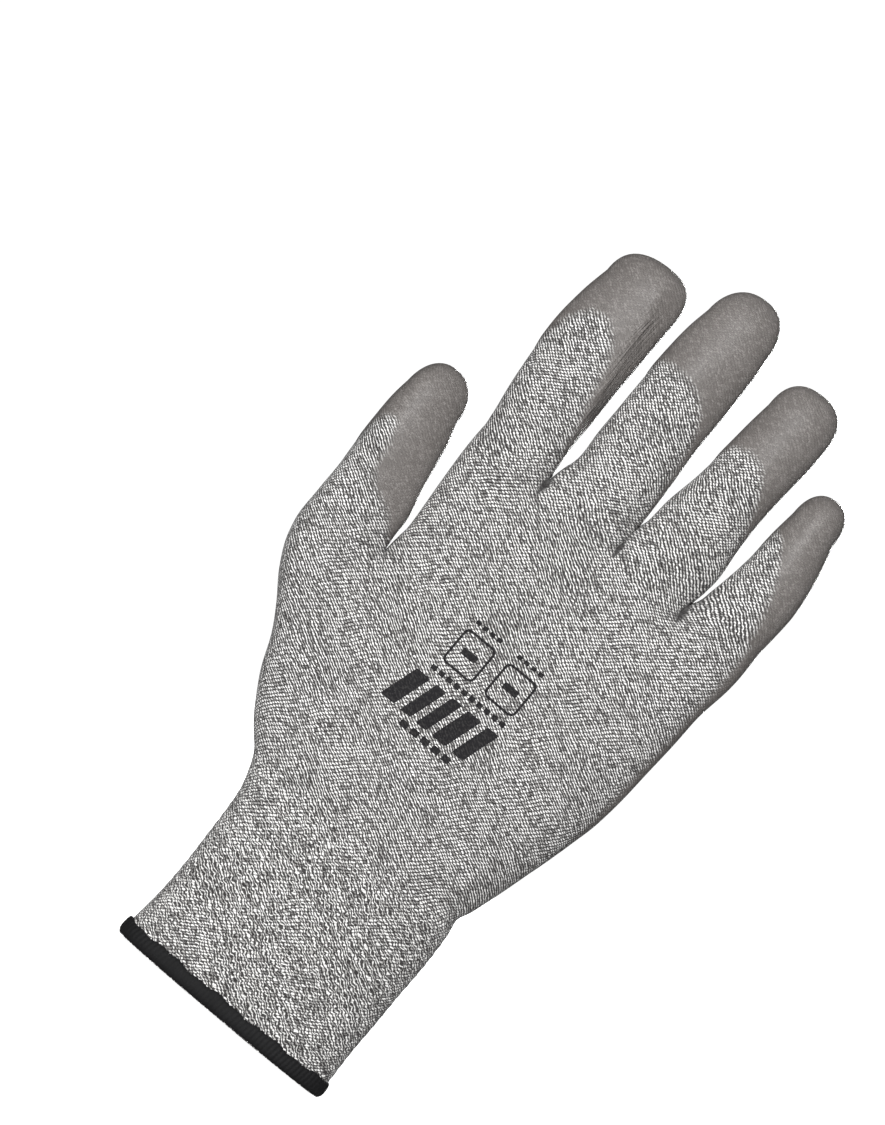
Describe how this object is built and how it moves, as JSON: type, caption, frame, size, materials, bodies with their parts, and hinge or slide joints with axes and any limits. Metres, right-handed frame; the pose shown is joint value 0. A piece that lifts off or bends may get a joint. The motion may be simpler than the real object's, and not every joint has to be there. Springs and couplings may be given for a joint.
{
  "type": "cut resistant glove",
  "caption": "Right-hand cut resistant work glove: seamless speckled knit with a grey dipped palm, fingers and fingertips, an elastic cuff and a black overlocked hem.",
  "frame": {"origin": "centre of the cuff opening, on the lower edge of the overlocked hem", "axes": "+Z along the hand towards the fingertips, -Y out of the back of the hand, +Y out of the palm, -X towards the thumb"},
  "size_m": [0.1188, 0.0264, 0.2393],
  "materials": {
    "knit": "salt-and-pepper knit",
    "coating": "satin dipped polyurethane",
    "hem_thread": "overlocked thread",
    "elastic_yarn": "covered elastic yarn",
    "print": "flat printed ink"
  },
  "bodies": {
    "palm": {"palm_liner": "knit", "palm_coating": "coating", "back_print": "print"},
    "cuff": {"cuff_liner": "knit", "hem_binding": "hem_thread", "cuff_elastic": "elastic_yarn"},
    "thumb_root": {"thumb_root_liner": "knit", "thumb_root_coating": "coating"},
    "thumb_tip": {"thumb_tip_liner": "knit", "thumb_tip_coating": "coating"},
    "index_root": {"index_root_liner": "knit", "index_root_coating": "coating"},
    "index_middle": {"index_middle_liner": "knit", "index_middle_coating": "coating"},
    "index_tip": {"index_tip_liner": "knit", "index_tip_coating": "coating"},
    "middle_root": {"middle_root_liner": "knit", "middle_root_coating": "coating"},
    "middle_middle": {"middle_middle_liner": "knit", "middle_middle_coating": "coating"},
    "middle_tip": {"middle_tip_liner": "knit", "middle_tip_coating": "coating"},
    "ring_root": {"ring_root_liner": "knit", "ring_root_coating": "coating"},
    "ring_middle": {"ring_middle_liner": "knit", "ring_middle_coating": "coating"},
    "ring_tip": {"ring_tip_liner": "knit", "ring_tip_coating": "coating"},
    "little_root": {"little_root_liner": "knit", "little_root_coating": "coating"},
    "little_middle": {"little_middle_liner": "knit", "little_middle_coating": "coating"},
    "little_tip": {"little_tip_liner": "knit", "little_tip_coating": "coating"}
  },
  "joints": [
    {"name": "wrist_bend", "type": "hinge", "parent": "palm", "child": "cuff", "pos_m": [0, 0, 0.06], "axis": [-1, 0, 0], "range_deg": [-20, 20]},
    {"name": "thumb_root_bend", "type": "hinge", "parent": "palm", "child": "thumb_root", "pos_m": [-0.05813, 0.01081, 0.126], "axis": [-0.9903, -0.1392, 0], "range_deg": [0, 50]},
    {"name": "thumb_tip_bend", "type": "hinge", "parent": "thumb_root", "child": "thumb_tip", "pos_m": [-0.06, 0.0107, 0.148], "axis": [-0.9903, -0.1392, 0], "range_deg": [0, 70]},
    {"name": "index_root_bend", "type": "hinge", "parent": "palm", "child": "index_root", "pos_m": [-0.03618, 0.00855, 0.167], "axis": [-1, 0, 0], "range_deg": [0, 85]},
    {"name": "index_middle_bend", "type": "hinge", "parent": "index_root", "child": "index_middle", "pos_m": [-0.03705, 0.00882, 0.188], "axis": [-1, 0, 0], "range_deg": [0, 90]},
    {"name": "index_tip_bend", "type": "hinge", "parent": "index_middle", "child": "index_tip", "pos_m": [-0.03745, 0.0096, 0.209], "axis": [-1, 0, 0], "range_deg": [0, 54]},
    {"name": "middle_root_bend", "type": "hinge", "parent": "palm", "child": "middle_root", "pos_m": [-0.01064, 0.0086, 0.167], "axis": [-1, 0, 0], "range_deg": [0, 85]},
    {"name": "middle_middle_bend", "type": "hinge", "parent": "middle_root", "child": "middle_middle", "pos_m": [-0.01064, 0.00893, 0.191], "axis": [-1, 0, 0], "range_deg": [0, 90]},
    {"name": "middle_tip_bend", "type": "hinge", "parent": "middle_middle", "child": "middle_tip", "pos_m": [-0.0107, 0.0099, 0.215], "axis": [-1, 0, 0], "range_deg": [0, 54]},
    {"name": "ring_root_bend", "type": "hinge", "parent": "palm", "child": "ring_root", "pos_m": [0.01503, 0.00863, 0.167], "axis": [-1, 0, 0], "range_deg": [0, 85]},
    {"name": "ring_middle_bend", "type": "hinge", "parent": "ring_root", "child": "ring_middle", "pos_m": [0.01549, 0.00881, 0.187], "axis": [-1, 0, 0], "range_deg": [0, 90]},
    {"name": "ring_tip_bend", "type": "hinge", "parent": "ring_middle", "child": "ring_tip", "pos_m": [0.01675, 0.0095, 0.208], "axis": [-1, 0, 0], "range_deg": [0, 54]},
    {"name": "little_root_bend", "type": "hinge", "parent": "palm", "child": "little_root", "pos_m": [0.03857, 0.00838, 0.167], "axis": [-1, 0, 0], "range_deg": [0, 85]},
    {"name": "little_middle_bend", "type": "hinge", "parent": "little_root", "child": "little_middle", "pos_m": [0.03926, 0.00838, 0.181], "axis": [-1, 0, 0], "range_deg": [0, 90]},
    {"name": "little_tip_bend", "type": "hinge", "parent": "little_middle", "child": "little_tip", "pos_m": [0.03885, 0.0087, 0.196], "axis": [-1, 0, 0], "range_deg": [0, 54]}
  ],
  "couplings": [
    {"joint": "index_tip_bend", "follows": "index_middle_bend", "ratio": 0.6},
    {"joint": "middle_tip_bend", "follows": "middle_middle_bend", "ratio": 0.6},
    {"joint": "ring_tip_bend", "follows": "ring_middle_bend", "ratio": 0.6},
    {"joint": "little_tip_bend", "follows": "little_middle_bend", "ratio": 0.6}
  ]
}
